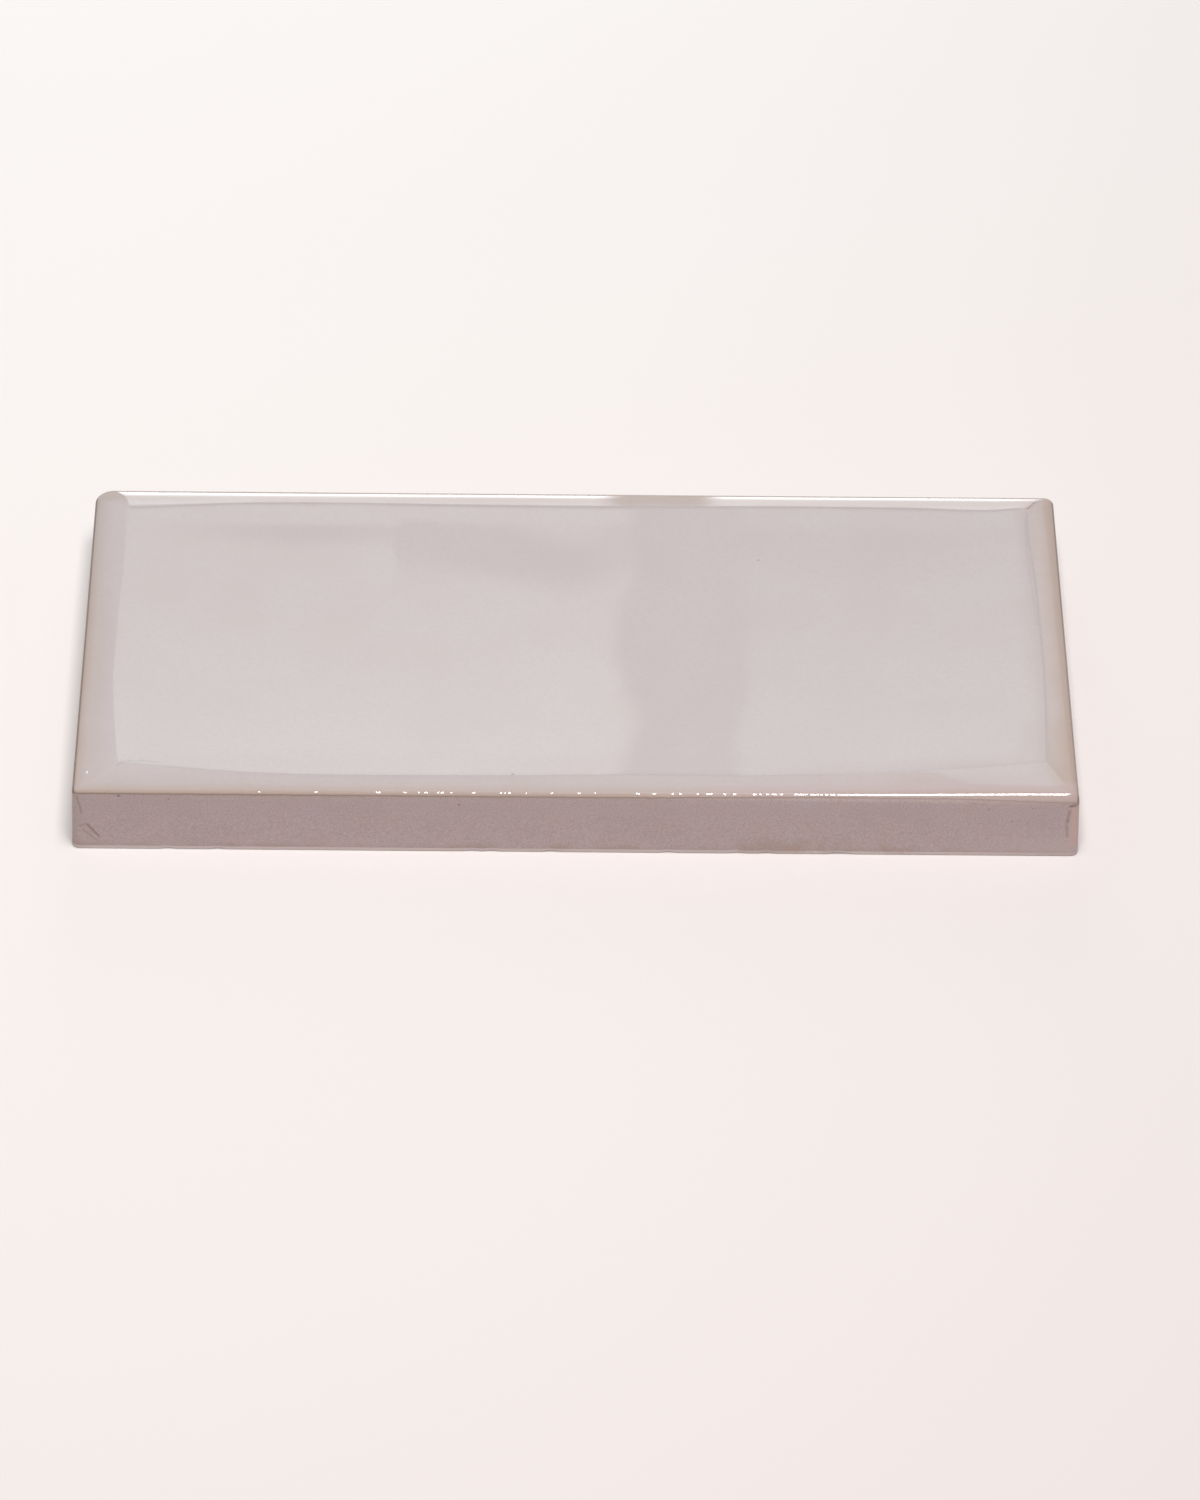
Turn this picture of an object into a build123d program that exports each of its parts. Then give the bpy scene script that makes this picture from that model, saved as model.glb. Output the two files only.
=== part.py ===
from build123d import *
import math
import os

# A glazed brick tile, pressed and fired as one piece of clay. Sizes are in millimetres.
# It lies on its unglazed back. The origin is the centre of the back, +X runs along the
# length, +Y along the width, and +Z points up out of the glazed face.

# Outside
length = 200.0  # along X, across the foot of the two short sides
width = 100.0  # along Y, across the foot of the two long sides
thickness = 15.0  # from the back to the flat middle of the face

# Sides
draft_angle = 1.6  # degrees by which each side leans in on its way up
corner_radius = 2.8  # upright corners seen from above, at the foot
back_ease = 0.3  # worn edge all round the back

# Face
cushion_width = 7.0  # band inside each edge where the face rolls down
cushion_drop = 0.75  # how much lower the face is where it would meet a sharp edge
mitre_radius = 9.0  # softening of the crease where two cushions meet at a corner
arris_radius = 1.3  # glazed rounding from the face into the sides


def lean_at(height):
    """How far a side has moved in from its foot at this height."""
    return height * math.tan(math.radians(draft_angle))


def drafted_block():
    """The block that the press leaves: upright corners rounded, all four sides leaning in."""
    outline = RectangleRounded(length, width, corner_radius)
    return extrude(outline, amount=thickness, taper=draft_angle)


def cushioned_section(across):
    """The face in section: flat in the middle, rolling down and on past the block at each end."""
    edge_height = thickness - cushion_drop
    flat_half = across / 2 - lean_at(edge_height) - cushion_width
    roll_radius = (cushion_width**2 + cushion_drop**2) / (2 * cushion_drop)
    reach = cushion_width + lean_at(thickness) + arris_radius
    outer_half = flat_half + reach
    outer_height = thickness - roll_radius + math.sqrt(roll_radius**2 - reach**2)
    below = -arris_radius
    flat = Line((-flat_half, thickness), (flat_half, thickness))
    right_roll = RadiusArc((flat_half, thickness), (outer_half, outer_height), roll_radius)
    right = Line((outer_half, outer_height), (outer_half, below))
    bottom = Line((outer_half, below), (-outer_half, below))
    left = Line((-outer_half, below), (-outer_half, outer_height))
    left_roll = RadiusArc((-outer_half, outer_height), (-flat_half, thickness), roll_radius)
    return make_face([flat, right_roll, right, bottom, left, left_roll])


def cushioned_face():
    """The form of the face: two cushioned sections that cross, so that they mitre at the corners."""
    rolls_at_ends = extrude(Plane.XZ * cushioned_section(length), amount=width, both=True)
    rolls_at_long_sides = extrude(Plane.YZ * cushioned_section(width), amount=length, both=True)
    return rolls_at_ends & rolls_at_long_sides


def is_side(face):
    """Whether a face climbs from the back towards the glazed face."""
    box = face.bounding_box()
    return box.min.Z < thickness / 2 < box.max.Z


def rim_edges(tile):
    """Every edge where a side meets the face."""
    edges = [edge for side in tile.faces() if is_side(side) for edge in side.edges()]
    return [edge for edge in edges if edge.bounding_box().min.Z > thickness / 2]


def foot_edges(tile):
    """Every edge round the back."""
    return [edge for edge in tile.edges() if edge.bounding_box().max.Z < thickness / 2]


def brick_tile():
    """The whole tile: block and face, then the creases, the glazed rim and the back edge."""
    tile = drafted_block() & cushioned_face()
    mitres = tile.edges().filter_by(GeomType.ELLIPSE)
    tile = fillet(mitres, mitre_radius)
    tile = fillet(rim_edges(tile), arris_radius)
    return chamfer(foot_edges(tile), back_ease)


os.makedirs("parts", exist_ok=True)
export_step(brick_tile(), "parts/brick_tile.step")
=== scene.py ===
import bmesh
import bpy
import math
from mathutils import Matrix, Vector


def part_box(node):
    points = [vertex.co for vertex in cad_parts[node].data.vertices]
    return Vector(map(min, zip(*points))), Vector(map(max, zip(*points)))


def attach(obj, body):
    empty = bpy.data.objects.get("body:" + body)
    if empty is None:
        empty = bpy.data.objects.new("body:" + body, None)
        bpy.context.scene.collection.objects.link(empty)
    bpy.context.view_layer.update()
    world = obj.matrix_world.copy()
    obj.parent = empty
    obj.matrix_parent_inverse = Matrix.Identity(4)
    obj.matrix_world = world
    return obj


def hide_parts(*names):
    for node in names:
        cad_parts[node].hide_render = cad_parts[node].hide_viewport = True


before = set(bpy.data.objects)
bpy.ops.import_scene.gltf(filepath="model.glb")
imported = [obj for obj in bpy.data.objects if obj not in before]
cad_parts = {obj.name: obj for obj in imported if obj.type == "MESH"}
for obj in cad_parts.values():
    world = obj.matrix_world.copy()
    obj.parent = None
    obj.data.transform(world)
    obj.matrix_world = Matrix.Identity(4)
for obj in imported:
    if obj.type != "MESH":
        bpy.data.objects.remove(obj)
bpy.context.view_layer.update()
mm = 0.001


# small helpers for edit mode

def pickParts(piece, kind, test):
    bpy.ops.mesh.select_all(action="DESELECT")
    bpy.ops.mesh.select_mode(type=kind)
    mesh = bmesh.from_edit_mesh(piece.data)
    for part in {"VERT": mesh.verts, "EDGE": mesh.edges, "FACE": mesh.faces}[kind]:
        if test(part):
            part.select_set(True)
    mesh.select_flush_mode()
    bmesh.update_edit_mesh(piece.data)


def edgeSpan(edge, axis):
    return abs(edge.verts[0].co[axis] - edge.verts[1].co[axis])


# tile

tileLow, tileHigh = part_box("brick_tile")

tileShape = {
    "length": tileHigh.x - tileLow.x,
    "width": tileHigh.y - tileLow.y,
    "thickness": tileHigh.z,
    "draftAngle": 1.6,            # degrees that the sides lean in
    "cornerCuts": 8,
    "footEase": 0.3 * mm,
    "footRings": ((0.05 * mm, 0.15 * mm), (0.12 * mm, 0.05 * mm), (0.3 * mm, 0.0), (0.9 * mm, 0.0)),
    "closingInset": 5.0 * mm,
    "closingRadius": 0.0005 * mm,
    "mergeWithin": 0.001 * mm,
    "blockHeight": 1.0 * mm,      # of the plain block that the tile grows from
    "sideRows": 9,
    "columnsAlong": 200,
    "columnsAcross": 100,
}

# The flat of the face ends in a crease, and a gently sloping band leads to the edge.
# Every corner has its own widths and roundings, so an edge can be sharp at one end and full at the other.
# "inner" is what is left of a corner's rounding where the band starts.
tileCorners = {
    "frontLeft": {"side": (-1, -1), "radius": 1.6 * mm, "inner": 0.5 * mm, "creaseX": 9.5 * mm,
                  "creaseY": 9.2 * mm, "bandDrop": 0.50 * mm, "bend": 0.12,
                  "rolls": (0.6 * mm, 1.1 * mm, 0.4 * mm)},
    "frontRight": {"side": (1, -1), "radius": 1.6 * mm, "inner": 0.4 * mm, "creaseX": 6.6 * mm,
                   "creaseY": 11.8 * mm, "bandDrop": 0.28 * mm, "bend": 0.15,
                   "rolls": (1.2 * mm, 1.5 * mm, 2.0 * mm)},
    "backRight": {"side": (1, 1), "radius": 2.4 * mm, "inner": 0.7 * mm, "creaseX": 6.4 * mm,
                  "creaseY": 5.7 * mm, "bandDrop": 0.26 * mm, "bend": 0.35,
                  "rolls": (6.5 * mm, 3.4 * mm, 0.8 * mm)},
    "backLeft": {"side": (-1, 1), "radius": 4.2 * mm, "inner": 3.5 * mm, "creaseX": 7.7 * mm,
                 "creaseY": 8.2 * mm, "bandDrop": 0.28 * mm, "bend": 0.4,
                 "rolls": (9.0 * mm, 3.6 * mm, 0.7 * mm)},
}
# slopes in degrees between which each of a corner's three rolls runs
rollSlopes = (5.0, 20.0, 38.0, 90.0 - tileShape["draftAngle"])
rollCuts = 6
bendSteps = (0.25, 0.5, 0.75, 1.0)     # shares of the bend, the first part of the band
bandSteps = (0.35, 0.65, 1.0)          # shares of what is left of it
firstShare = 0.001                     # where the band leaves the flat


def turnedDown(share, bend):
    # how far down a line has come that turns over the first part of its way, end = 1
    if share < bend:
        return share * share / (2 * bend) / (1.0 - bend / 2)
    return (share - bend / 2) / (1.0 - bend / 2)


def rimProfile(corner):
    # inner end first: inset along x and y, height lost below the flat, and how round the corner is
    rolled = []
    run, drop = 0.0, 0.0
    for slopeFrom, slopeTo, radius in zip(rollSlopes, rollSlopes[1:], corner["rolls"]):
        start = math.radians(slopeFrom)
        startRun, startDrop = run, drop
        for cut in range(1, rollCuts + 1):
            slope = math.radians(slopeFrom + (slopeTo - slopeFrom) * cut / rollCuts)
            run = startRun + radius * (math.sin(slope) - math.sin(start))
            drop = startDrop + radius * (math.cos(start) - math.cos(slope))
            rolled.append((run, drop))
    bandX = corner["creaseX"] - run
    bandY = corner["creaseY"] - run
    bend = corner["bend"]
    bendShares = [bend * step for step in bendSteps]
    restShares = [bend + (1.0 - bend) * step for step in bandSteps]
    steps = []
    for share in [firstShare] + bendShares + restShares:
        steps.append((bandX * share, bandY * share, corner["bandDrop"] * turnedDown(share, bend), share))
    for across, down in rolled:
        steps.append((bandX + across, bandY + across, corner["bandDrop"] + down, 1.0))
    return steps


def planRings():
    lean = math.tan(math.radians(tileShape["draftAngle"]))
    foot, top = tileShape["footEase"], tileShape["thickness"]
    plans = {}
    for name, corner in tileCorners.items():
        steps = rimProfile(corner)
        lostX, lostY, drop = steps[-1][:3]
        sideTop = top - drop
        rings = []
        for row in range(tileShape["sideRows"] + 1):
            height = foot + (sideTop - foot) * row / tileShape["sideRows"]
            rings.append(ringPlace(corner, lean * height, lean * height, height))
        for acrossX, acrossY, down, share in reversed(steps[:-1]):
            insetX = lean * sideTop + lostX - acrossX
            insetY = lean * sideTop + lostY - acrossY
            rings.append(ringPlace(corner, insetX, insetY, top - down, share))
        plans[name] = rings
    return plans


def ringPlace(corner, insetX, insetY, height, share=1.0):
    radius = max(corner["inner"] * share, corner["radius"] - min(insetX, insetY))
    return {"inset": (insetX, insetY), "radius": radius, "height": height}


def arcCentre(corner, place):
    return Vector((
        corner["side"][0] * (tileShape["length"] / 2 - place["inset"][0] - place["radius"]),
        corner["side"][1] * (tileShape["width"] / 2 - place["inset"][1] - place["radius"]),
        place["height"],
    ))


capTest = {"level": 0.9, "reach": 10.0 * mm}


def isCap(face, up):
    # the large face at the top or at the back: it is level, and its centre is near the tile's
    centre = face.calc_center_median()
    central = abs(centre.x) < capTest["reach"] and abs(centre.y) < capTest["reach"]
    return face.normal.z * up > capTest["level"] and central


def pickCapCorner(piece, up, side):
    bpy.ops.mesh.select_all(action="DESELECT")
    bpy.ops.mesh.select_mode(type="VERT")
    mesh = bmesh.from_edit_mesh(piece.data)
    cap = next(face for face in mesh.faces if isCap(face, up))
    for vert in cap.verts:
        if vert.co.x * side[0] > 0 and vert.co.y * side[1] > 0:
            vert.select_set(True)
    bmesh.update_edit_mesh(piece.data)


def moveCap(piece, places, nextPlaces, up):
    for name, corner in tileCorners.items():
        pickCapCorner(piece, up, corner["side"])
        centre = arcCentre(corner, places[name])
        shrink = nextPlaces[name]["radius"] / places[name]["radius"]
        bpy.ops.transform.resize(value=(shrink, shrink, 1.0), center_override=centre)
        bpy.ops.transform.translate(value=arcCentre(corner, nextPlaces[name]) - centre)


def addRing(piece, places, nextPlaces, up):
    pickParts(piece, "FACE", lambda face: isCap(face, up))
    bpy.ops.mesh.extrude_region()
    moveCap(piece, places, nextPlaces, up)


def ringPlaces(inset, height):
    return {name: ringPlace(corner, inset, inset, height) for name, corner in tileCorners.items()}


def isUprightEdge(edge, side):
    # one of the block's four upright edges, at the corner that lies towards this side
    place = edge.verts[0].co
    near = 0.1 * mm
    return (edgeSpan(edge, 2) > tileShape["blockHeight"] / 2
            and place.x * side[0] > tileShape["length"] / 2 - near
            and place.y * side[1] > tileShape["width"] / 2 - near)


def makeTile():
    plans = planRings()
    blockHeight = tileShape["blockHeight"]
    low = tileShape["footEase"]
    bpy.ops.object.select_all(action="DESELECT")
    bpy.ops.mesh.primitive_cube_add(
        size=1.0,
        location=(0.0, 0.0, low + blockHeight / 2),
        scale=(tileShape["length"], tileShape["width"], blockHeight),
    )
    tile = bpy.context.object
    tile.name = "glazedBrickTile"
    tile.data.name = "glazedBrickTile"
    bpy.ops.object.transform_apply(location=True, rotation=True, scale=True)
    bpy.ops.object.mode_set(mode="EDIT")
    for corner in tileCorners.values():
        pickParts(tile, "EDGE", lambda edge: isUprightEdge(edge, corner["side"]))
        bpy.ops.mesh.bevel(
            offset=corner["radius"], offset_type="OFFSET",
            segments=tileShape["cornerCuts"], profile=0.5, affect="EDGES",
        )

    # up the sides and over the edge to the flat of the face
    last = ringPlaces(0.0, low + blockHeight)
    count = len(plans["frontLeft"])
    for ring in range(1, count):
        following = {name: rings[ring] for name, rings in plans.items()}
        if ring == 1:
            moveCap(tile, last, following, 1)   # the block's own top becomes the first row
        else:
            addRing(tile, last, following, 1)
        last = following

    # eased foot, then the flat back
    last = ringPlaces(0.0, low)
    for inset, height in tileShape["footRings"]:
        following = ringPlaces(inset, height)
        addRing(tile, last, following, -1)
        last = following
    closed = ringPlaces(tileShape["closingInset"], 0.0)
    for place in closed.values():
        place["radius"] = tileShape["closingRadius"]
    addRing(tile, last, closed, -1)

    bpy.ops.mesh.select_all(action="SELECT")
    bpy.ops.mesh.remove_doubles(threshold=tileShape["mergeWithin"])
    pickParts(tile, "EDGE", lambda edge: edgeSpan(edge, 0) > tileShape["length"] / 2)
    bpy.ops.mesh.subdivide(number_cuts=tileShape["columnsAlong"] - 1)
    pickParts(tile, "EDGE", lambda edge: edgeSpan(edge, 1) > tileShape["width"] / 2)
    bpy.ops.mesh.subdivide(number_cuts=tileShape["columnsAcross"] - 1)
    bpy.ops.mesh.select_all(action="SELECT")
    bpy.ops.mesh.normals_make_consistent(inside=False)
    bpy.ops.object.mode_set(mode="OBJECT")
    bpy.ops.object.shade_smooth()
    return tile


# small chips out of the front foot: place along it and how wide, in mm

footNicks = ((-87.4, 0.6), (-81.0, 0.6), (-77.8, 0.6), (-71.3, 1.1), (-44.8, 0.6), (-20.3, 1.1), (-16.2, 0.6),
             (-4.3, 0.6), (18.5, 1.1), (25.6, 0.6), (31.8, 1.6), (37.7, 0.6), (52.8, 1.6), (58.6, 0.6))
# how deep they go, what share of that they go inward, and how far in and up the moved points lie
nickShape = {"depth": 0.25 * mm, "inward": 0.6, "within": 0.5 * mm, "above": 0.05 * mm}


def nickFoot(piece):
    bpy.ops.object.mode_set(mode="EDIT")
    for place, reach in footNicks:
        pickParts(piece, "VERT", lambda vert: abs(vert.co.x - place * mm) < reach * mm
                  and vert.co.y < -tileShape["width"] / 2 + nickShape["within"]
                  and vert.co.z < tileShape["footEase"] + nickShape["above"])
        inward = nickShape["depth"] * nickShape["inward"]
        bpy.ops.transform.translate(value=(0.0, inward, nickShape["depth"]))
    bpy.ops.object.mode_set(mode="OBJECT")


tile = makeTile()
nickFoot(tile)
print("tile mesh:", len(tile.data.polygons), "faces")


# creases that run closer to the edges between the corners

creaseLines = {
    # places along the side, and how far in from the outline the crease lies there (mm)
    "front": {"axis": "Y", "sign": -1, "ends": ("frontLeft", "frontRight"),
              "points": ((-90.5, 9.2), (-70, 6.6), (-52, 5.6), (-14, 5.8), (8, 6.4), (33, 6.3), (60, 7.7),
                         (80, 9.7), (93.9, 11.8))},
    "back": {"axis": "Y", "sign": 1, "ends": ("backLeft", "backRight"),
             "points": ((-92.2, 8.2), (-79.9, 7.3), (-69.5, 6.5), (-48.8, 6.2), (-33, 6.4),
                        (-3.2, 6.6), (38.4, 6), (55, 6), (71.6, 6.2), (84.5, 6.7), (93, 5.7))},
    "left": {"axis": "X", "sign": -1, "ends": ("frontLeft", "backLeft"),
             "points": ((-40.8, 9.5), (-37.3, 9), (-27.8, 8.1), (-15.1, 7.1),
                        (-2.2, 7.1), (10.9, 7.3), (24.3, 7.9), (41.9, 7.7))},
    "right": {"axis": "X", "sign": 1, "ends": ("frontRight", "backRight"),
              "points": ((-38.7, 6.6), (-25.4, 5.9), (-11, 5.5), (0.4, 5.5), (8.6, 5.6), (22.5, 5.9),
                        (33.6, 6.4), (43.1, 6.4))},
}
bowReach = {"from": 1.6 * mm, "bend": 0.4, "easing": 13.0 * mm, "to": 30.0 * mm}


def smoothShare(value, start, end):
    share = min(1.0, max(0.0, (value - start) / (end - start)))
    return share * share * (3.0 - 2.0 * share)


def curveThrough(points, place):
    # height at the place of a smooth curve through the points, or nothing beyond its ends
    for index in range(len(points) - 1):
        (start, first), (end, second) = points[index], points[index + 1]
        if start <= place < end:
            before = points[max(index - 1, 0)]
            after = points[min(index + 2, len(points) - 1)]
            width = end - start
            leaving = (second - before[1]) / (end - before[0]) * width
            arriving = (after[1] - first) / (after[0] - start) * width
            t = (place - start) / width
            return (first * (2 * t ** 3 - 3 * t ** 2 + 1) + leaving * (t ** 3 - 2 * t ** 2 + t)
                    + second * (3 * t ** 2 - 2 * t ** 3) + arriving * (t ** 3 - t ** 2))
    return None


def straightDepth(line, along):
    # where the crease still lies, straight from corner to corner
    first, last = [tileCorners[name] for name in line["ends"]]
    axis, other = ("X", "Y") if line["axis"] == "X" else ("Y", "X")
    half = (tileShape["length"] if other == "X" else tileShape["width"]) / 2
    start = first["crease" + other] - half
    end = half - last["crease" + other]
    share = min(1.0, max(0.0, (along - start) / (end - start)))
    return first["crease" + axis] + (last["crease" + axis] - first["crease" + axis]) * share


def moveByGroup(piece, name, axis, strength, texture=None):
    displace = piece.modifiers.new(name, "DISPLACE")
    displace.direction = axis
    displace.strength = strength
    displace.vertex_group = name
    displace.mid_level = 0.0
    if texture:
        displace.texture = texture
        displace.texture_coords = "LOCAL"
        displace.mid_level = 1.0   # only downwards, so that the face stays under its full height
    bpy.ops.object.modifier_apply(modifier=name)


def placeBySide(line, vert):
    # how far along the side a point lies, and how far in from the outline
    half = (tileShape["length"] if line["axis"] == "X" else tileShape["width"]) / 2
    across, along = (vert.co.x, vert.co.y) if line["axis"] == "X" else (vert.co.y, vert.co.x)
    return along, half - across * line["sign"]


def bowCreases(piece):
    bpy.context.view_layer.objects.active = piece
    most = 6.0 * mm   # more than a crease moves anywhere
    for name, line in creaseLines.items():
        for outward in (1, -1):
            group = piece.vertex_groups.new(name=name + str(outward))
            for vert in piece.data.vertices:
                along, depth = placeBySide(line, vert)
                wanted = curveThrough(line["points"], along / mm)
                if wanted is None or vert.co.z < tileShape["thickness"] / 2:
                    continue
                straight = straightDepth(line, along)
                move = (straight - wanted * mm) * outward
                near = min(1.0, max(0.0, (depth - bowReach["from"]) / (straight - bowReach["from"])))
                share = turnedDown(near, bowReach["bend"])
                share *= 1.0 - smoothShare(depth, bowReach["easing"], bowReach["to"])
                if move * share > 0.0:
                    group.add([vert.index], move * share / most, "REPLACE")
            moveByGroup(piece, group.name, line["axis"], most * line["sign"] * outward)
    piece.vertex_groups.clear()


# towards its right end the front edge stands a little higher, and its rounding starts further in
fullerRim = {"inward": 0.25 * mm, "up": 0.2 * mm, "along": (55.0 * mm, 96.0 * mm),
             "deep": (0.45 * mm, 1.3 * mm, 1.6 * mm, 11.5 * mm)}


def fillRim(piece):
    group = piece.vertex_groups.new(name="fullerRim")
    start, full, easing, end = fullerRim["deep"]
    for vert in piece.data.vertices:
        if vert.co.z > tileShape["thickness"] / 2:
            depth = tileShape["width"] / 2 + vert.co.y
            share = smoothShare(depth, start, full) * (1.0 - smoothShare(depth, easing, end))
            group.add([vert.index], share * smoothShare(vert.co.x, *fullerRim["along"]), "REPLACE")
    moveByGroup(piece, "fullerRim", "Y", fullerRim["inward"])
    moveByGroup(piece, "fullerRim", "Z", fullerRim["up"])
    piece.vertex_groups.clear()


bowCreases(tile)
fillRim(tile)


# painted shade along the creases, which the material reads from an attribute

creaseShadeShares = {"front": 0.35, "back": 0.5, "left": 0.0, "right": 0.45}
creaseShadeCore = 0.13 * mm
creaseShadeReach = 0.35 * mm


# painted shade: a dark line along each crease, strongest on its core
def shadeCreases(piece):
    creaseShade = piece.data.attributes.new("creaseShade", "FLOAT", "POINT")
    for name, line in creaseLines.items():
        for vert in piece.data.vertices:
            along, depth = placeBySide(line, vert)
            wanted = curveThrough(line["points"], along / mm)
            if wanted is None or vert.co.z < tileShape["thickness"] / 2:
                continue
            near = 1.0 - max(0.0, abs(depth - wanted * mm) - creaseShadeCore) / creaseShadeReach
            if near > 0.0:
                creaseShade.data[vert.index].value = max(creaseShade.data[vert.index].value, creaseShadeShares[name] * near)


shadeCreases(tile)


# swell of the glaze

glazeSwell = {
    "longWave": {"size": 30.0 * mm, "height": 0.10 * mm, "from": 3.0 * mm, "to": 14.0 * mm},
    "shortWave": {"size": 10.0 * mm, "height": 0.012 * mm, "from": 2.5 * mm, "to": 7.0 * mm},
}

# the face lies a little lower inside its rim
faceDish = {"depth": 0.03 * mm, "from": 4.5 * mm, "to": 13.0 * mm}

# shallow hollows in the face: centre in x and y, spread in x and y, depth, all in mm
glazeHollows = (
    (-53, 39, 14, 4.5, 0.10),
    (-22, 36, 14, 8, 0.10),
    (-3, 30, 9, 9, 0.10),
    (57, 34, 15, 8, 0.10),
    (6, -27, 9, 8, 0.06),
    (19, -2, 9, 8, 0.05),
)


def edgeShare(vert, wave):
    # nothing at the edge, all of it from some way in
    depth = min(tileShape["length"] / 2 - abs(vert.co.x), tileShape["width"] / 2 - abs(vert.co.y))
    return smoothShare(depth, wave["from"], wave["to"]) if vert.co.z > tileShape["thickness"] / 2 else 0.0


def swellFace(piece):
    bpy.context.view_layer.objects.active = piece
    for name, wave in glazeSwell.items():
        group = piece.vertex_groups.new(name=name)
        for vert in piece.data.vertices:
            group.add([vert.index], edgeShare(vert, wave), "REPLACE")
        clouds = bpy.data.textures.new(name, "CLOUDS")
        clouds.noise_scale = wave["size"]
        clouds.noise_depth = 1
        clouds.noise_basis = "ORIGINAL_PERLIN"
        moveByGroup(piece, name, "Z", wave["height"], clouds)


def hollowFace(piece):
    most = 0.3 * mm   # more than all of it adds up to anywhere
    group = piece.vertex_groups.new(name="hollows")
    for vert in piece.data.vertices:
        down = 0.0
        for x, y, spreadX, spreadY, depth in glazeHollows:
            away = ((vert.co.x / mm - x) / spreadX) ** 2 + ((vert.co.y / mm - y) / spreadY) ** 2
            down += depth * mm * math.exp(-away / 2)
        down = down * edgeShare(vert, glazeSwell["shortWave"]) + faceDish["depth"] * edgeShare(vert, faceDish)
        group.add([vert.index], down / most, "REPLACE")
    moveByGroup(piece, "hollows", "Z", -most)
    piece.vertex_groups.clear()


swellFace(tile)
hollowFace(tile)
print("creases and glaze swell done")


# materials

def addNode(tree, kind, inputs=None, **settings):
    node = tree.nodes.new("ShaderNode" + kind)
    for name, value in settings.items():
        setattr(node, name, value)
    for name, value in (inputs or {}).items():
        if isinstance(value, bpy.types.NodeSocket):
            tree.links.new(value, node.inputs[name])
        else:
            node.inputs[name].default_value = value
    return node


def calc(tree, operation, *values):
    return addNode(tree, "Math", dict(enumerate(values)), operation=operation).outputs[0]


def easeBetween(tree, value, start, end, toStart=0.0, toEnd=1.0):
    node = addNode(tree, "MapRange", {
        "Value": value, "From Min": start, "From Max": end, "To Min": toStart, "To Max": toEnd,
    }, interpolation_type="SMOOTHSTEP")
    return node.outputs["Result"]


def mixColour(tree, share, first, second):
    node = addNode(tree, "Mix", {0: share, 6: first, 7: second}, data_type="RGBA")
    return node.outputs[2]


def mixValue(tree, share, first, second):
    node = addNode(tree, "Mix", {0: share, 2: first, 3: second})
    return node.outputs[0]


def cloudNoise(tree, vector, size, detail=2.0, roughness=0.5):
    node = addNode(tree, "TexNoise", {
        "Vector": vector, "Scale": 1.0 / size, "Detail": detail, "Roughness": roughness,
    })
    return node.outputs["Fac"]


def rampOver(tree, value, stops):
    # straight lines through (mm, share) stops, the last at the furthest place
    reach = stops[-1][0]
    ramp = addNode(tree, "ValToRGB", {"Fac": calc(tree, "DIVIDE", value, reach * mm)})
    elements = ramp.color_ramp.elements
    elements.remove(elements[1])
    for index, (place, share) in enumerate(stops):
        element = elements[0] if index == 0 else elements.new(place / reach)
        element.position = place / reach
        element.color = (share, share, share, 1.0)
    return ramp.outputs["Color"]


def strokeMask(tree, flat, start, end, core, reach):
    # 1 along a short line in the flat picture plane, fading to 0; all sizes in mm
    first = Vector((start[0], start[1], 0.0)) * mm
    span = Vector((end[0], end[1], 0.0)) * mm - first
    away = addNode(tree, "VectorMath", {0: flat, 1: first}, operation="SUBTRACT").outputs[0]
    share = addNode(tree, "VectorMath", {0: away, 1: span / max(span.length_squared, 1e-12)},
                    operation="DOT_PRODUCT").outputs["Value"]
    share = addNode(tree, "Clamp", {0: share}).outputs[0]
    onLine = addNode(tree, "VectorMath", {0: span, "Scale": share}, operation="SCALE").outputs[0]
    distance = addNode(tree, "VectorMath", {0: away, 1: onLine}, operation="DISTANCE").outputs["Value"]
    return easeBetween(tree, distance, reach * mm, core * mm)


glazeFinish = {
    "face": (0.540, 0.478, 0.480, 1.0),
    "faceWarm": (0.528, 0.464, 0.462, 1.0),
    "faceDark": (0.505, 0.444, 0.446, 1.0),
    "edgeTan": (0.42, 0.31, 0.255, 1.0),
    "edgePink": (0.46, 0.34, 0.315, 1.0),
    "edgeBrown": (0.21, 0.14, 0.11, 1.0),
    # colour of the painted shade along the creases
    "creaseShade": (0.40, 0.35, 0.355, 1.0),
    "side": (0.50, 0.397, 0.398, 1.0),
    "sideDark": (0.43, 0.33, 0.322, 1.0),
    "sideLight": (0.56, 0.455, 0.45, 1.0),
    "sideWarm": (0.49, 0.365, 0.335, 1.0),
    "sideCool": (0.48, 0.415, 0.43, 1.0),
    "clay": (0.50, 0.375, 0.30, 1.0),
    "clayDark": (0.38, 0.275, 0.215, 1.0),
    # colour of the painted highlight along the eased foot
    "footHighlight": (0.74, 0.65, 0.64, 1.0),
    "stain": (0.40, 0.285, 0.225, 1.0),
    "scrape": (0.27, 0.175, 0.14, 1.0),
    "pinhole": (0.16, 0.12, 0.11, 1.0),
    "pink": (0.62, 0.43, 0.38, 1.0),
    # colour of a painted highlight on the left rim
    "paintedGlint": (0.95, 0.93, 0.92, 1.0),
    "ior": 1.6,
    "glossy": 0.022,
    "satin": 0.5,
    "dry": 0.75,
    "bare": 0.9,
}

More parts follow.
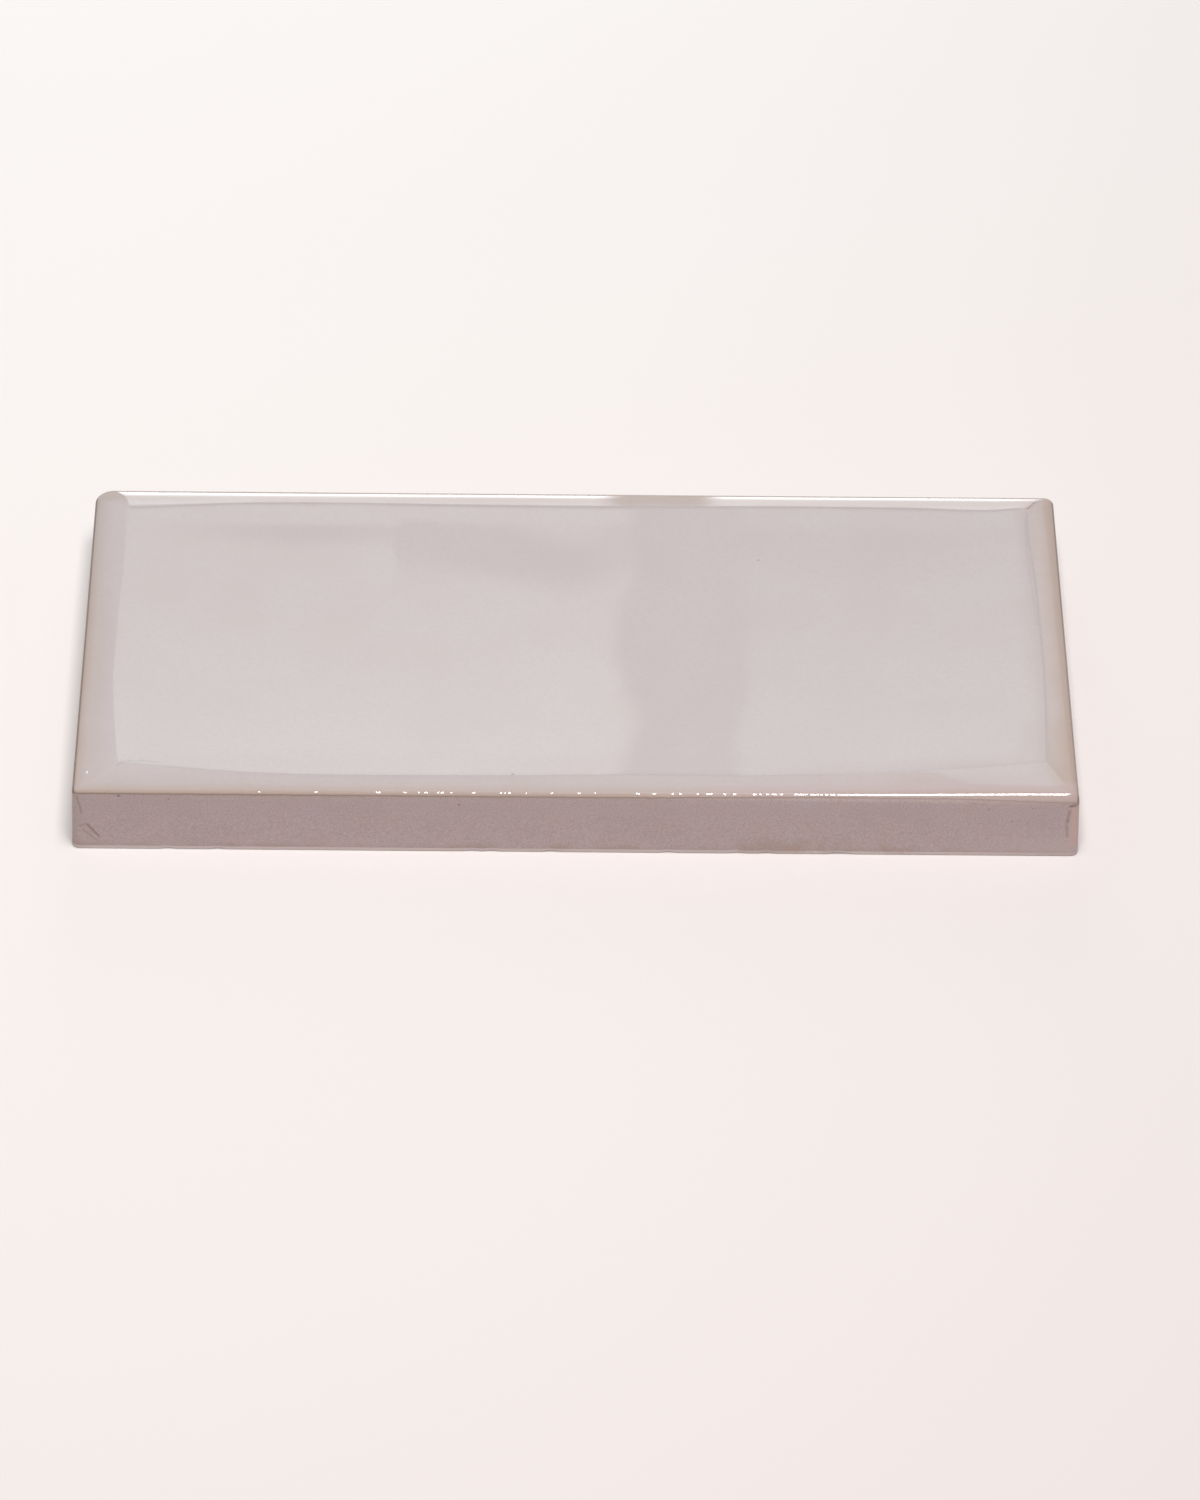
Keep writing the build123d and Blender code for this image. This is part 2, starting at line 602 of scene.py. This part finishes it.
# how much of the tan shows through, by the distance in mm from each edge
tanByDepth = {
    "left": ((0.0, 1.0), (0.7, 1.0), (1.3, 0.6), (2.6, 0.3), (4.5, 0.18), (6.3, 0.05), (8.0, 0.0)),
    "right": ((0.0, 1.0), (0.8, 1.0), (1.4, 0.85), (2.6, 0.6), (4.0, 0.35), (6.2, 0.18), (9.0, 0.0)),
    "front": ((0.0, 1.0), (0.7, 0.85), (1.3, 0.5), (2.7, 0.24), (4.2, 0.1), (6.3, 0.0)),
    "back": ((0.0, 0.9), (1.8, 0.9), (2.4, 0.5), (4.6, 0.42), (5.6, 0.2), (7.0, 0.0)),
}

# marks on the front side: from and to in mm along the length and above the foot, core, reach, share
sideMarks = {
    "scrape": (
        ((-98.6, 13.0), (-97.8, 9.1), 0.10, 0.35, 0.5),
        ((-96.7, 6.1), (-94.6, 3.3), 0.08, 0.38, 0.75),
        ((-97.6, 4.8), (-95.2, 2.4), 0.10, 0.30, 0.4),
        ((-98.4, 5.8), (-96.9, 6.3), 0.10, 0.30, 0.4),
        ((98.7, 12.9), (97.9, 12.7), 0.2, 0.5, 0.9),
        ((97.7, 11.4), (97.4, 8.9), 0.05, 0.55, 0.5),
        ((97.5, 9.4), (97.2, 6.9), 0.05, 0.45, 0.35),
        ((97.4, 7.2), (97.5, 5.2), 0.05, 0.4, 0.45),
    ),
    "pinhole": (
        ((-90.5, 13.4), (-90.3, 13.4), 0.15, 0.38, 0.8),
        ((-80.5, 12.7), (-80.5, 12.7), 0.10, 0.28, 0.6),
        ((-23.1, 11.9), (-23.2, 11.7), 0.10, 0.28, 0.6),
        ((81.7, 11.7), (81.7, 11.7), 0.10, 0.28, 0.6),
        ((86.4, 8.7), (86.4, 8.7), 0.10, 0.26, 0.5),
        ((90.4, 12.1), (90.4, 12.1), 0.10, 0.26, 0.5),
    ),
}
faceMarks = {
    # painted shade along the creases, near the front left corner and along the right edge
    "creaseShade": (
        ((-90.9, -41.9), (-90.2, -41.1), 0.05, 0.4, 0.4),
        ((-90.2, -41.1), (-88.5, -40.6), 0.05, 0.4, 0.4),
        ((-88.5, -40.6), (-85.9, -40.5), 0.05, 0.4, 0.4),
        ((-85.9, -40.5), (-82.5, -41.0), 0.05, 0.4, 0.4),
        ((93.4, 40.4), (93.0, 32.0), 0.05, 0.45, 0.25),
        ((93.0, 32.0), (93.3, 21.9), 0.05, 0.45, 0.25),
        ((93.3, 21.9), (93.6, 13.6), 0.05, 0.45, 0.25),
        ((93.6, 13.6), (93.9, 5.3), 0.05, 0.45, 0.25),
    ),
    "pinhole": (
        ((37.6, 26.1), (37.6, 26.1), 0.12, 0.34, 0.5),
        ((-12.7, -43.9), (-12.5, -43.8), 0.12, 0.32, 0.5),
    ),
    "edgeBrown": (
        ((94.0, 44.2), (95.3, 46.3), 0.05, 0.4, 0.45),
        ((95.3, 46.3), (97.0, 48.0), 0.05, 0.4, 0.55),
    ),
    # painted highlight: a short white glint on the left rim
    "paintedGlint": (
        ((-96.9, -44.2), (-96.8, -43.6), 0.06, 0.18, 0.9),
    ),
}


def addMarks(tree, colour, flat, marks, where):
    for kind, strokes in marks.items():
        for start, end, core, reach, share in strokes:
            mask = calc(tree, "MULTIPLY", strokeMask(tree, flat, start, end, core, reach), share)
            mask = calc(tree, "MULTIPLY", mask, where)
            colour = mixColour(tree, mask, colour, glazeFinish[kind])
    return colour


def noisePatches(tree, vector, patch):
    # cloud noise that sets in between two of its levels, up to a share
    noise = cloudNoise(tree, vector, patch["size"], patch["detail"], patch["roughness"])
    return easeBetween(tree, noise, *patch["levels"], 0.0, patch["share"])


def distanceFromEnds(tree, x):
    return calc(tree, "SUBTRACT", tileShape["length"] / 2, calc(tree, "ABSOLUTE", x))


frontZone = (-44.0 * mm, -46.0 * mm)   # across which a point comes to belong to the front
faceNoises = {
    "mottle": {"size": 18.0 * mm, "detail": 4.0, "roughness": 0.5, "levels": (0.35, 0.7), "share": 1.0},
    "fine": {"size": 0.8 * mm, "detail": 3.0, "roughness": 0.65, "levels": (0.38, 0.65), "share": 0.5},
}
tanWobble = {"size": 8.0 * mm, "detail": 4.0, "share": 0.6}
# factors on the distance from an edge, which change along it: axis, from and to in mm, factor at each
tanStretch = {
    "front": ("x", 0.0, 85.0, 0.9, 0.38),
    "left": ("y", 0.0, 40.0, 1.0, 1.5),
    "right": ("y", -20.0, -42.0, 0.9, 0.55),
}
# where the tan is pinker and where it turns brown: each sets in at the first place, and is full at the second
edgeZones = {
    "pinkAlong": (-10.0 * mm, 50.0 * mm),
    "brownEnds": (0.95 * mm, 0.7 * mm),
    "brownBack": (1.6 * mm, 1.1 * mm),
    "brownUnder": (1.8 * mm, 1.4 * mm),    # below the top of the face
}


def faceColour(tree, place, x, y, z):
    depths = {
        "left": calc(tree, "ADD", x, tileShape["length"] / 2),
        "right": calc(tree, "SUBTRACT", tileShape["length"] / 2, x),
        "front": calc(tree, "ADD", y, tileShape["width"] / 2),
        "back": calc(tree, "SUBTRACT", tileShape["width"] / 2, y),
    }
    mottle = noisePatches(tree, place, faceNoises["mottle"])
    face = mixColour(tree, mottle, glazeFinish["face"], glazeFinish["faceWarm"])
    fine = noisePatches(tree, place, faceNoises["fine"])
    face = mixColour(tree, fine, face, glazeFinish["faceDark"])

    # thinner, browner glaze towards the edges
    wobble = calc(tree, "SUBTRACT", cloudNoise(tree, place, tanWobble["size"], tanWobble["detail"]), 0.5)
    for name, (axis, start, end, first, last) in tanStretch.items():
        factor = easeBetween(tree, {"x": x, "y": y}[axis], start * mm, end * mm, first, last)
        depths[name] = calc(tree, "MULTIPLY", depths[name], factor)
    tan = 0.0
    for name, depth in depths.items():
        reach = calc(tree, "MULTIPLY", depth, tanWobble["share"])
        wobbled = calc(tree, "MULTIPLY_ADD", wobble, reach, depth)
        tan = calc(tree, "MAXIMUM", tan, rampOver(tree, wobbled, tanByDepth[name]))
    frontRight = calc(tree, "MULTIPLY", easeBetween(tree, x, *edgeZones["pinkAlong"]),
                      easeBetween(tree, y, *frontZone))
    edge = mixColour(tree, frontRight, glazeFinish["edgeTan"], glazeFinish["edgePink"])
    face = mixColour(tree, tan, face, edge)
    brownFrom, brownTo = [tileShape["thickness"] - under for under in edgeZones["brownUnder"]]
    brownBack = calc(tree, "MULTIPLY", easeBetween(tree, depths["back"], *edgeZones["brownBack"]),
                     easeBetween(tree, z, brownFrom, brownTo))
    brownEnds = easeBetween(tree, distanceFromEnds(tree, x), *edgeZones["brownEnds"])
    face = mixColour(tree, calc(tree, "MAXIMUM", brownEnds, brownBack), face, glazeFinish["edgeBrown"])
    # painted shade along the creases
    creaseShade = addNode(tree, "Attribute", attribute_name="creaseShade").outputs["Fac"]
    face = mixColour(tree, creaseShade, face, glazeFinish["creaseShade"])
    return addMarks(tree, face, addNode(tree, "CombineXYZ", {0: x, 1: y}).outputs[0], faceMarks, 1.0)


# noises of the sides: size, detail and roughness
sideNoises = {
    "patches": (9.0 * mm, 5.0, 0.6),
    "tints": (5.0 * mm, 5.0, 0.65),
    "streaks": (0.8 * mm, 3.0, 0.6),
}
streakStretch = (0.12, 0.12, 1.0)
# levels of a noise between which each colour sets in, and its share
sideLayers = (
    ("tints", 0.5, 0.66, 0.6, "sideWarm"),
    ("tints", 0.5, 0.34, 0.7, "sideCool"),
    ("patches", 0.4, 0.75, 0.35, "sideDark"),
    ("streaks", 0.45, 0.75, 0.35, "sideDark"),
    ("grain", 0.50, 0.63, 0.8, "sideDark"),
    ("grain", 0.50, 0.37, 0.8, "sideLight"),
)
# brown near the foot, then a line of painted shade and a painted highlight along the eased foot: heights in
# mm where each sets in and is full, and its share
footLayers = (
    (2.6, 0.9, 0.5, "stain"),
    (1.3, 0.6, 0.5, "sideDark"),
    (1.0, 0.75, 0.8, "footHighlight"),
)
footStains = {"size": 7.0 * mm, "detail": 4.0, "roughness": 0.6, "levels": (0.42, 0.62), "share": 1.0}

# tints of the front side: strokes as for the marks, without their share
smudge = {"stroke": ((34.0, 2.0), (66.0, 1.6), 0.3, 3.0), "share": 0.5,
          "noise": {"size": 4.0 * mm, "detail": 4.0, "roughness": 0.6, "levels": (0.4, 0.6), "share": 1.0}}
pinkCorner = {"stroke": ((99.0, 11.6), (99.1, 3.4), 0.2, 1.7), "share": 0.75}
brownCorner = {"along": (-95.5 * mm, -98.5 * mm), "share": 0.15}
# the right end of the sides is paler towards the foot
paleRightFoot = {"along": (70.0 * mm, 100.0 * mm), "up": (9.0 * mm, 1.0 * mm), "share": 0.6}


def sideColour(tree, place, x, y, z, grain):
    drawn = addNode(tree, "Mapping", {"Vector": place, "Scale": streakStretch}).outputs[0]
    noises = {"grain": grain}
    for name, (size, detail, roughness) in sideNoises.items():
        noises[name] = cloudNoise(tree, drawn if name == "streaks" else place, size, detail, roughness)
    side = glazeFinish["side"]
    for name, start, end, share, tint in sideLayers:
        layer = easeBetween(tree, noises[name], start, end, 0.0, share)
        side = mixColour(tree, layer, side, glazeFinish[tint])

    stains = noisePatches(tree, place, footStains)
    for start, end, share, tint in footLayers:
        layer = easeBetween(tree, z, start * mm, end * mm, 0.0, share)
        if tint == "stain":
            layer = calc(tree, "MULTIPLY", layer, stains)
        side = mixColour(tree, layer, side, glazeFinish[tint])

    onFront = easeBetween(tree, y, *frontZone)
    flat = addNode(tree, "CombineXYZ", {0: x, 1: z}).outputs[0]
    smudged = calc(tree, "MULTIPLY", strokeMask(tree, flat, *smudge["stroke"]),
                   noisePatches(tree, place, smudge["noise"]))
    smudged = calc(tree, "MULTIPLY", calc(tree, "MULTIPLY", smudged, onFront), smudge["share"])
    side = mixColour(tree, smudged, side, glazeFinish["stain"])
    palerShare = calc(tree, "MULTIPLY", easeBetween(tree, x, *paleRightFoot["along"]),
                easeBetween(tree, z, *paleRightFoot["up"]))
    side = mixColour(tree, calc(tree, "MULTIPLY", palerShare, paleRightFoot["share"]), side, glazeFinish["sideLight"])
    browner = easeBetween(tree, x, *brownCorner["along"], 0.0, brownCorner["share"])
    side = mixColour(tree, calc(tree, "MULTIPLY", browner, onFront), side, glazeFinish["stain"])
    pinker = calc(tree, "MULTIPLY", strokeMask(tree, flat, *pinkCorner["stroke"]), onFront)
    side = mixColour(tree, calc(tree, "MULTIPLY", pinker, pinkCorner["share"]), side, glazeFinish["pink"])
    return addMarks(tree, side, flat, sideMarks, onFront)


# how far the glaze comes down the front, by the distance in mm from the left end: shares of lipMost
lipMost = 2.0 * mm
lipByLength = ((0.0, 0.55), (60.0, 0.56), (104.0, 0.6), (150.0, 0.45),
               (175.0, 0.5), (195.0, 0.75), (200.0, 0.8))
# the uneven line that the glaze ends in, elsewhere and in its look
glazeLip = {
    "back": 2.3 * mm,
    "toBack": (-47.0 * mm, 47.0 * mm),
    "ends": (-50.0 * mm, 50.0 * mm, 1.4 * mm, 2.4 * mm),    # from and to along x, how far down at each
    "nearEnds": (1.2 * mm, 0.6 * mm),
    "noise": {"size": 2.2 * mm, "detail": 3.0, "height": 0.3 * mm},
    "soft": 0.08 * mm,
    "line": (0.23 * mm, 0.04 * mm),
    "lineShares": (20.0 * mm, 75.0 * mm, 0.6, 0.4),
    "warm": (-0.9 * mm, 0.0, 0.0, 0.35),
}
sideGrain = {"size": 0.36 * mm, "detail": 3.0, "roughness": 0.7, "strength": 0.6, "height": 0.03 * mm}

# bare clay under the foot
bareClay = {
    "height": (0.12 * mm, 0.03 * mm),
    "pores": {"size": 1.1 * mm, "detail": 4.0, "roughness": 0.7, "levels": (0.56, 0.68), "share": 0.8},
    "blotches": {"size": 22.0 * mm, "detail": 4.0, "roughness": 0.6, "levels": (0.4, 0.7), "share": 0.35},
}

# Along the front edge the glaze is dry up to where its gloss starts, but for a few beads:
# place and half width in mm.
glossStart = 51.6 * mm
dryEdge = {"soft": 0.3 * mm, "deep": (1.5 * mm, 1.1 * mm)}
beads = (
    (-62.6, 0.2), (-51.4, 0.3), (-39.1, 0.5), (-33.9, 0.35), (-31.1, 0.15), (-29.7, 0.35), (-27.3, 0.2),
    (-26.5, 0.3), (-24.7, 0.2), (-20.3, 0.3), (-14.9, 0.2), (-14.1, 0.15), (-13.2, 0.25), (-9.9, 0.12),
    (-4.8, 0.25), (0.5, 0.3), (3.7, 0.15), (12.2, 0.4), (15.4, 0.35), (19.0, 0.2), (20.6, 0.25), (24.0, 0.2),
    (26.3, 0.6), (29.3, 0.25), (31.3, 0.3), (35.3, 0.35), (36.4, 0.25), (37.8, 0.3), (39.1, 0.55),
    (40.5, 0.35), (44.4, 1.3), (47.1, 0.85), (48.5, 0.25), (49.5, 0.3), (50.7, 0.5),
)


def heightAboveLip(tree, place, x, y, z):
    # how far a point lies above the line that the glaze ends in
    fromLeft = calc(tree, "ADD", x, tileShape["length"] / 2)
    drop = calc(tree, "MULTIPLY", rampOver(tree, fromLeft, lipByLength), lipMost)
    start, end = glazeLip["toBack"]
    toBack = addNode(tree, "MapRange", {"Value": y, "From Min": start, "From Max": end}).outputs[0]
    drop = mixValue(tree, toBack, drop, glazeLip["back"])
    endDrop = mixValue(tree, toBack, easeBetween(tree, x, *glazeLip["ends"]), glazeLip["back"])
    nearEnds = easeBetween(tree, distanceFromEnds(tree, x), *glazeLip["nearEnds"])
    drop = mixValue(tree, nearEnds, drop, endDrop)
    noise = glazeLip["noise"]
    uneven = calc(tree, "SUBTRACT", cloudNoise(tree, place, noise["size"], noise["detail"]), 0.5)
    drop = calc(tree, "MULTIPLY_ADD", uneven, noise["height"], drop)
    return calc(tree, "ADD", calc(tree, "SUBTRACT", z, tileShape["thickness"]), drop)


def dryShare(tree, x, y):
    fromFront = calc(tree, "ADD", y, tileShape["width"] / 2)
    dry = easeBetween(tree, x, glossStart + dryEdge["soft"], glossStart - dryEdge["soft"])
    dry = calc(tree, "MULTIPLY", dry, easeBetween(tree, fromFront, *dryEdge["deep"]))
    for spot, halfWidth in beads:
        bead = calc(tree, "COMPARE", x, spot * mm, halfWidth * mm)
        dry = calc(tree, "MULTIPLY", dry, calc(tree, "SUBTRACT", 1.0, bead))
    return dry


def makeGlaze():
    material = bpy.data.materials.new("glazeAndSides")
    material.use_nodes = True
    tree = material.node_tree
    shader = tree.nodes["Principled BSDF"]
    shader.inputs["IOR"].default_value = glazeFinish["ior"]
    place = addNode(tree, "TexCoord").outputs["Object"]
    split = addNode(tree, "SeparateXYZ", {0: place})
    x, y, z = split.outputs[0], split.outputs[1], split.outputs[2]
    grain = cloudNoise(tree, place, sideGrain["size"], sideGrain["detail"], sideGrain["roughness"])
    face = faceColour(tree, place, x, y, z)
    side = sideColour(tree, place, x, y, z, grain)

    aboveLip = heightAboveLip(tree, place, x, y, z)
    glazed = easeBetween(tree, aboveLip, -glazeLip["soft"], glazeLip["soft"])
    lipLine = calc(tree, "MULTIPLY", easeBetween(tree, calc(tree, "ABSOLUTE", aboveLip), *glazeLip["line"]),
                   easeBetween(tree, x, *glazeLip["lineShares"]))
    lipWarm = easeBetween(tree, aboveLip, *glazeLip["warm"])
    colour = mixColour(tree, glazed, mixColour(tree, lipWarm, side, glazeFinish["stain"]), face)
    colour = mixColour(tree, lipLine, colour, glazeFinish["edgeBrown"])

    bare = easeBetween(tree, z, *bareClay["height"])
    darker = calc(tree, "MAXIMUM", noisePatches(tree, place, bareClay["pores"]),
                  noisePatches(tree, place, bareClay["blotches"]))
    clay = mixColour(tree, darker, glazeFinish["clay"], glazeFinish["clayDark"])
    tree.links.new(mixColour(tree, bare, colour, clay), shader.inputs["Base Color"])

    gloss = mixValue(tree, dryShare(tree, x, y), glazeFinish["glossy"], glazeFinish["dry"])
    rough = mixValue(tree, glazed, glazeFinish["satin"], gloss)
    tree.links.new(mixValue(tree, bare, rough, glazeFinish["bare"]), shader.inputs["Roughness"])
    grainBump = addNode(tree, "Bump", {
        "Strength": sideGrain["strength"], "Distance": sideGrain["height"],
        "Height": calc(tree, "MULTIPLY", grain, calc(tree, "SUBTRACT", 1.0, glazed)),
    })
    tree.links.new(grainBump.outputs[0], shader.inputs["Normal"])
    return material


tile.data.materials.clear()
tile.data.materials.append(makeGlaze())
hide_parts("brick_tile")
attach(tile, "root")
print("materials done")


# floor

floorFinish = {
    "size": 9.0,
    "colour": (0.75, 0.685, 0.665, 1.0),
    "liftNear": (0.0, 0.0, 0.0, 1.0),         # towards the front right
    "liftFar": (0.285, 0.315, 0.317, 1.0),     # towards the back left
    "liftSlope": (-0.5, 0.6),                  # how fast it grows along x and y
    "liftFrom": -0.20,
    "liftTo": 0.25,
}


def seenShare(tree):
    # 1 for what the camera sees, straight or mirrored, and 0 for what only lights the scene
    rays = addNode(tree, "LightPath")
    mirrored = calc(tree, "MAXIMUM", rays.outputs["Is Glossy Ray"], rays.outputs["Is Transmission Ray"])
    return calc(tree, "MAXIMUM", rays.outputs["Is Camera Ray"], mirrored)


def makeFloor():
    bpy.ops.object.select_all(action="DESELECT")
    bpy.ops.mesh.primitive_plane_add(size=floorFinish["size"], location=(0.0, 0.0, 0.0))
    floor = bpy.context.object
    floor.name = "studioFloor"
    material = bpy.data.materials.new("palePaper")
    material.use_nodes = True
    tree = material.node_tree
    tree.nodes.remove(tree.nodes["Principled BSDF"])
    seen = seenShare(tree)
    paper = addNode(tree, "BsdfDiffuse", {"Color": floorFinish["colour"]})
    place = addNode(tree, "SeparateXYZ", {0: addNode(tree, "TexCoord").outputs["Object"]})
    slopeX, slopeY = floorFinish["liftSlope"]
    toBack = calc(tree, "MULTIPLY", place.outputs[1], slopeY)
    toBackLeft = calc(tree, "MULTIPLY_ADD", place.outputs[0], slopeX, toBack)
    far = addNode(tree, "MapRange", {
        "Value": toBackLeft, "From Min": floorFinish["liftFrom"], "From Max": floorFinish["liftTo"],
    }).outputs[0]
    lift = mixColour(tree, far, floorFinish["liftNear"], floorFinish["liftFar"])
    lift = addNode(tree, "Emission", {"Color": lift, "Strength": seen})
    both = addNode(tree, "AddShader", {0: paper.outputs[0], 1: lift.outputs[0]})
    tree.links.new(both.outputs[0], tree.nodes["Material Output"].inputs["Surface"])
    floor.data.materials.append(material)


makeFloor()


# light

keyLight = {"centre": (0.048, -0.27, 1.0), "size": (0.32, 0.56), "radiance": 17.2, "fade": (0.03,) * 4}

# Upright panels behind the tile, which its glaze mirrors: edges in x and z, how far each edge fades
# (left, right, bottom, top), and between which heights they grow from dim to full. Panels that meet
# don't overlap and don't fade there, because either would show as a dark strip.
backPanels = {
    "lowLeft": {"x": (-0.152, 0.021), "z": (0.0, 0.43), "radiance": 5.0, "colour": (0.92, 1.0, 1.03),
                "fade": (0.012, 0.010, 0.08, 0.015), "dim": 0.34, "grow": (0.38, 0.14)},
    "lowRight": {"x": (0.043, 0.165), "z": (0.0, 0.43), "radiance": 4.8, "colour": (0.92, 1.0, 1.03),
                 "fade": (0.010, 0.035, 0.08, 0.015), "dim": 0.34, "grow": (0.38, 0.14)},
    "highFarLeft": {"x": (-0.185, -0.050), "z": (0.500, 0.70), "radiance": 1.15, "colour": (0.88, 1.0, 0.95),
                    "fade": (0.01, 0.0, 0.03, 0.02), "dim": 0.5, "grow": (0.55, 0.64)},
    "highLeft": {"x": (-0.050, 0.028), "z": (0.522, 0.70), "radiance": 1.15, "colour": (0.88, 1.0, 0.95),
                 "fade": (0.0, 0.008, 0.03, 0.02), "dim": 0.5, "grow": (0.55, 0.64)},
    "highRight": {"x": (0.060, 0.190), "z": (0.520, 0.70), "radiance": 0.70, "colour": (0.70, 0.95, 1.0),
                  "fade": (0.008, 0.01, 0.03, 0.02), "dim": 0.35, "grow": (0.55, 0.64)},
    "farRight": {"x": (0.228, 0.36), "z": (0.45, 0.66), "radiance": 0.3, "colour": (0.9, 0.95, 1.0),
                 "fade": (0.01, 0.03, 0.03, 0.03), "dim": 1.0, "grow": (0.0, 0.1)},
    "top": {"x": (-0.30, 0.36), "z": (0.745, 1.0), "radiance": 0.08, "colour": (1.0, 1.0, 1.0),
            "fade": (0.03, 0.03, 0.015, 0.03), "dim": 1.0, "grow": (0.0, 0.1)},
}
panelDistance = 0.7


def addSoftbox(name, centre, aim, size, radiance, fade, colour=(1.0, 1.0, 1.0), dim=1.0, grow=(0.0, 1.0)):
    lamp = bpy.data.lights.new(name, "AREA")
    lamp.shape = "RECTANGLE"
    lamp.size, lamp.size_y = size
    lamp.energy = radiance * math.pi * lamp.size * lamp.size_y
    lamp.color = colour
    lamp.use_nodes = True
    tree = lamp.node_tree
    across = addNode(tree, "SeparateXYZ", {0: addNode(tree, "NewGeometry").outputs["Parametric"]})
    left, right, bottom, top = fade   # shares of the width and the height
    strength = easeBetween(tree, across.outputs[1], grow[0], grow[1], dim, 1.0)
    edges = ((0, 1.0, 1.0 - left), (0, 0.0, right), (1, 0.0, bottom), (1, 1.0, 1.0 - top))
    for direction, start, end in edges:
        if start != end:
            fading = easeBetween(tree, across.outputs[direction], start, end)
            strength = calc(tree, "MULTIPLY", strength, fading)
    tree.links.new(strength, tree.nodes["Emission"].inputs["Strength"])
    holder = bpy.data.objects.new(name, lamp)
    bpy.context.scene.collection.objects.link(holder)
    holder.location = centre
    toward = Vector(aim) - Vector(centre)
    holder.rotation_euler = toward.to_track_quat("-Z", "Y").to_euler()


def addBackPanel(name, panel):
    width = panel["x"][1] - panel["x"][0]
    low, high = panel["z"]
    height = high - low
    x, z = sum(panel["x"]) / 2, (low + high) / 2
    left, right, bottom, top = panel["fade"]
    grow = [(level - low) / height for level in panel["grow"]]
    addSoftbox(name, (x, panelDistance, z), (x, 0.0, z), (width, height), panel["radiance"],
               (left / width, right / width, bottom / height, top / height),
               panel["colour"], panel["dim"], grow)


keyX, keyY, keyZ = keyLight["centre"]
addSoftbox("key", keyLight["centre"], (keyX, keyY, 0.0), keyLight["size"], keyLight["radiance"],
           keyLight["fade"])
for name, panel in backPanels.items():
    addBackPanel(name, panel)

# the world is dimmer as a light than it looks
paleWorld = {"colour": (0.96, 0.93, 0.91, 1.0), "lighting": 0.28, "seen": 1.0}


def addWorld():
    world = bpy.data.worlds.new("paleStudio")
    bpy.context.scene.world = world
    world.use_nodes = True
    tree = world.node_tree
    background = tree.nodes["Background"]
    background.inputs["Color"].default_value = paleWorld["colour"]
    strength = easeBetween(tree, seenShare(tree), 0.0, 1.0, paleWorld["lighting"], paleWorld["seen"])
    tree.links.new(strength, background.inputs["Strength"])


addWorld()
print("floor and light done")


# camera

photoCamera = {
    "elevation": 39.305,      # degrees that it looks down
    "heading": 0.991,         # degrees that it turns to the right
    "roll": 1.098,
    "distance": 1.4705,
    "aim": (0.00535, 0.0, -0.01456),
    "lens": 171.8,
}


def addCamera():
    down = math.radians(photoCamera["elevation"])
    turn = math.radians(photoCamera["heading"])
    camera = bpy.data.objects.new("photoCamera", bpy.data.cameras.new("photoCamera"))
    bpy.context.scene.collection.objects.link(camera)
    camera.data.sensor_width = 36.0
    camera.data.lens = photoCamera["lens"]
    camera.data.clip_start = 0.05
    look = Vector((math.sin(turn) * math.cos(down), math.cos(turn) * math.cos(down), -math.sin(down)))
    spot = Vector(photoCamera["aim"]) - look * photoCamera["distance"]
    turned = (Matrix.Rotation(-turn, 4, "Z") @ Matrix.Rotation(math.pi / 2 - down, 4, "X")
              @ Matrix.Rotation(math.radians(photoCamera["roll"]), 4, "Z"))
    camera.matrix_world = Matrix.Translation(spot) @ turned
    bpy.context.scene.camera = camera


addCamera()
bpy.context.scene.view_settings.view_transform = "Standard"
